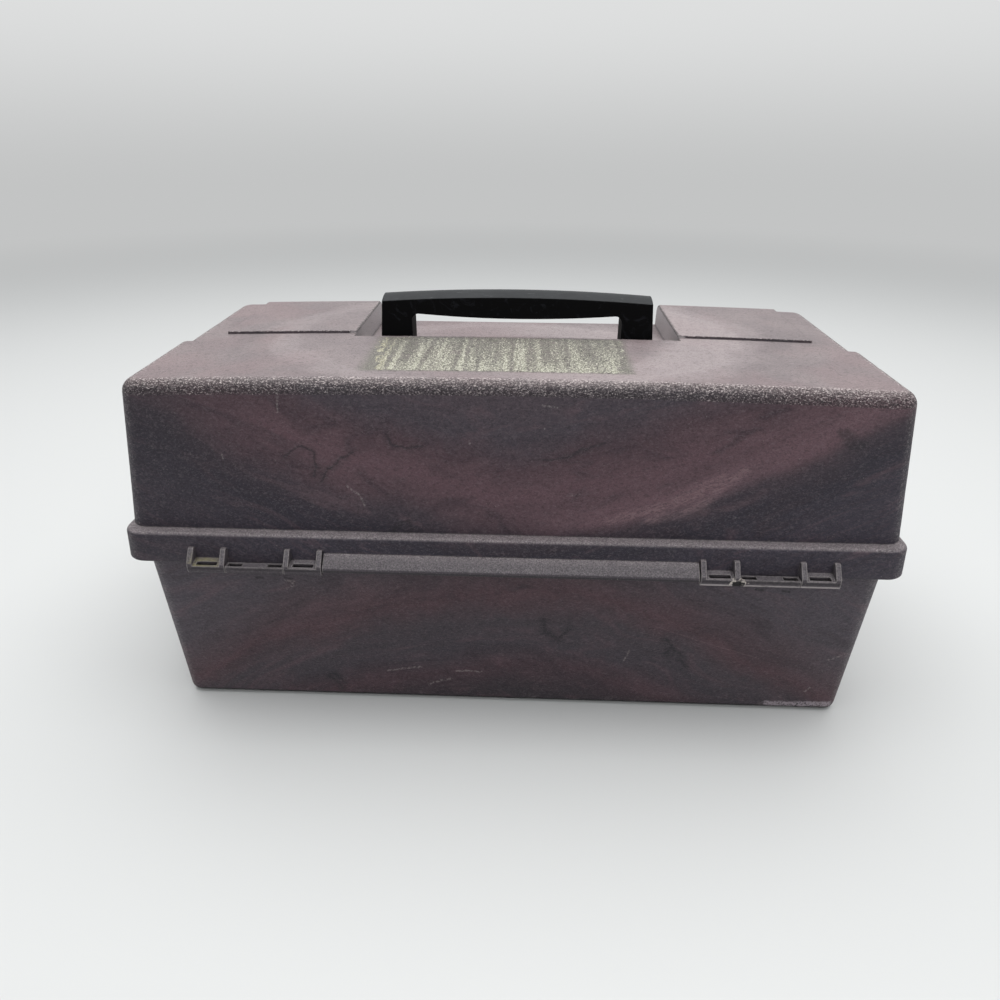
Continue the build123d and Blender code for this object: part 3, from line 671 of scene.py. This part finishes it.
# Trays
# The three trays are plain mouldings in one warm grey, with smooth walls. Their dividers are
# loose sheets of a paler plastic that slide between ribs.
def tray_plastic(name, base):
    finish = Finish(name)
    normal, edge = finish.soft_edges(0.8)
    cloud = finish.noise(70, 4, 0.6, 0.5)
    grime = finish.noise(5.5, 4, 0.7)
    darker = tuple(channel * 0.72 for channel in base)
    color = finish.mix(cloud.between(0.35, 0.75) * 0.5, base, darker)
    color = finish.mix(grime.between(0.58, 0.72) * 0.25, color, tone(90, 84, 76))
    color = finish.mix(edge * 0.35, color, tone(190, 180, 168))
    roughness = 0.36 + cloud * 0.16
    finish.surface(Base_Color=color, Roughness=roughness, Normal=finish.bump(grime, 0.08, 0.4, normal))
    return finish.material


tray_material = tray_plastic("tray_plastic", tone(140, 131, 120))
divider_material = tray_plastic("divider_plastic", tone(158, 149, 138))
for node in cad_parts:
    if node.endswith("_tray"):
        wear_material(node, tray_material)
    elif "_divider_" in node:
        wear_material(node, divider_material)


# Arms, links, pins and rivets
# The tray arms and the lid links are blanked from zinc plated steel strip and pivot on steel
# rivets with flat heads. The hinge, handle and latch pins are cut from plated wire.
def plated_steel():
    finish = Finish("plated_steel")
    normal, edge = finish.soft_edges(0.4)
    crystal_size = 3.8
    cells = {"Vector": finish.place, "Scale": 1 / crystal_size}
    spangle = finish.node("ShaderNodeTexVoronoi", {}, cells, "Distance")
    dull = finish.noise(8, 5, 0.7)
    drawn = finish.noise(0.6, 3, 0.6, 0.0, finish.join(finish.x, finish.y / 6, finish.z))
    color = finish.mix(dull.between(0.4, 0.7), tone(176, 177, 180), tone(132, 128, 122))
    color = finish.mix(dull.between(0.66, 0.78) * 0.5, color, tone(96, 66, 44))
    color = finish.mix(edge * 0.4, color, tone(206, 206, 208))
    roughness = 0.30 + dull * 0.22 + spangle * 0.1
    finish.surface(Base_Color=color, Roughness=roughness, Normal=finish.bump(drawn, 0.04, 0.4, normal))
    finish.surface(Metallic=1.0)
    return finish.material


steel = plated_steel()
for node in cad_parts:
    if {"rivet", "pin", "arm", "link"} & set(node.split("_")):
        wear_material(node, steel)


# Floor, backdrop and light
# A round sheet of pale paper lies under the box and fades into a plain backdrop on all sides. A
# broad soft lamp hangs overhead, and a weaker one stands behind the camera.
def background_rays(finish):
    """1 for the rays that only show a background, 0 for those that light the box."""
    rays = ("Is Camera Ray", "Is Glossy Ray", "Is Transmission Ray")
    camera_ray, glossy_ray, transmission_ray = finish.node("ShaderNodeLightPath", {}, [], rays)
    return (camera_ray + glossy_ray).math("ADD", transmission_ray, clamp=True)


backdrop_low = tone(195, 196, 196)
backdrop_high = tone(222, 223, 223)


def paper_floor():
    radius = 3.2
    below_base = 0.0004
    shape = bmesh.new()
    bmesh.ops.create_circle(shape, cap_ends=True, segments=96, radius=radius)
    mesh = bpy.data.meshes.new("floor")
    shape.to_mesh(mesh)
    shape.free()
    sheet = bpy.data.objects.new("floor", mesh)
    sheet.location.z = -below_base
    scene.collection.objects.link(sheet)
    paper = Finish("paper")
    away = paper.vector("LENGTH", paper.place, output="Value")
    fade = away.between(950, 2300)
    pale = paper.mix(fade, tone(216, 217, 216), (0, 0, 0))
    glow = paper.mix(background_rays(paper) * fade, (0, 0, 0), backdrop_low)
    paper.surface(Base_Color=pale, Roughness=0.9, Specular_IOR_Level=0.0)
    paper.surface(Emission_Color=glow, Emission_Strength=1)
    mesh.materials.append(paper.material)


paper_floor()


def soft_lamp(name, place, target, width, depth, power):
    light = bpy.data.lights.new(name, "AREA")
    light.shape = "RECTANGLE"
    light.size, light.size_y = width, depth
    light.energy = power
    lamp = bpy.data.objects.new(name, light)
    aim = (Vector(target) - Vector(place)).to_track_quat("-Z", "Y")
    lamp.matrix_world = Matrix.Translation(place) @ aim.to_matrix().to_4x4()
    scene.collection.objects.link(lamp)


soft_lamp("overhead", (0.0, -0.15, 1.5), (0, 0, 0.1), 2.2, 1.6, 29)
soft_lamp("window", (-0.3, 1.6, 1.1), (0, 0, 0.1), 1.4, 1.0, 7)


class Sky(Finish):
    """The world's nodes, made in the same way as a material's."""

    def __init__(self, world):
        world.use_nodes = True
        self.tree = world.node_tree
        self.shader = self.tree.nodes["Background"]


scene.world = bpy.data.worlds.new("studio")
sky = Sky(scene.world)
rise = sky.split(sky.node("ShaderNodeTexCoord", {}, [], "Generated"))[2]
backdrop = sky.mix(rise.between(-0.08, 0.12), backdrop_low, backdrop_high)
sky.surface(Color=sky.mix(background_rays(sky), tone(165, 167, 169), backdrop), Strength=1)
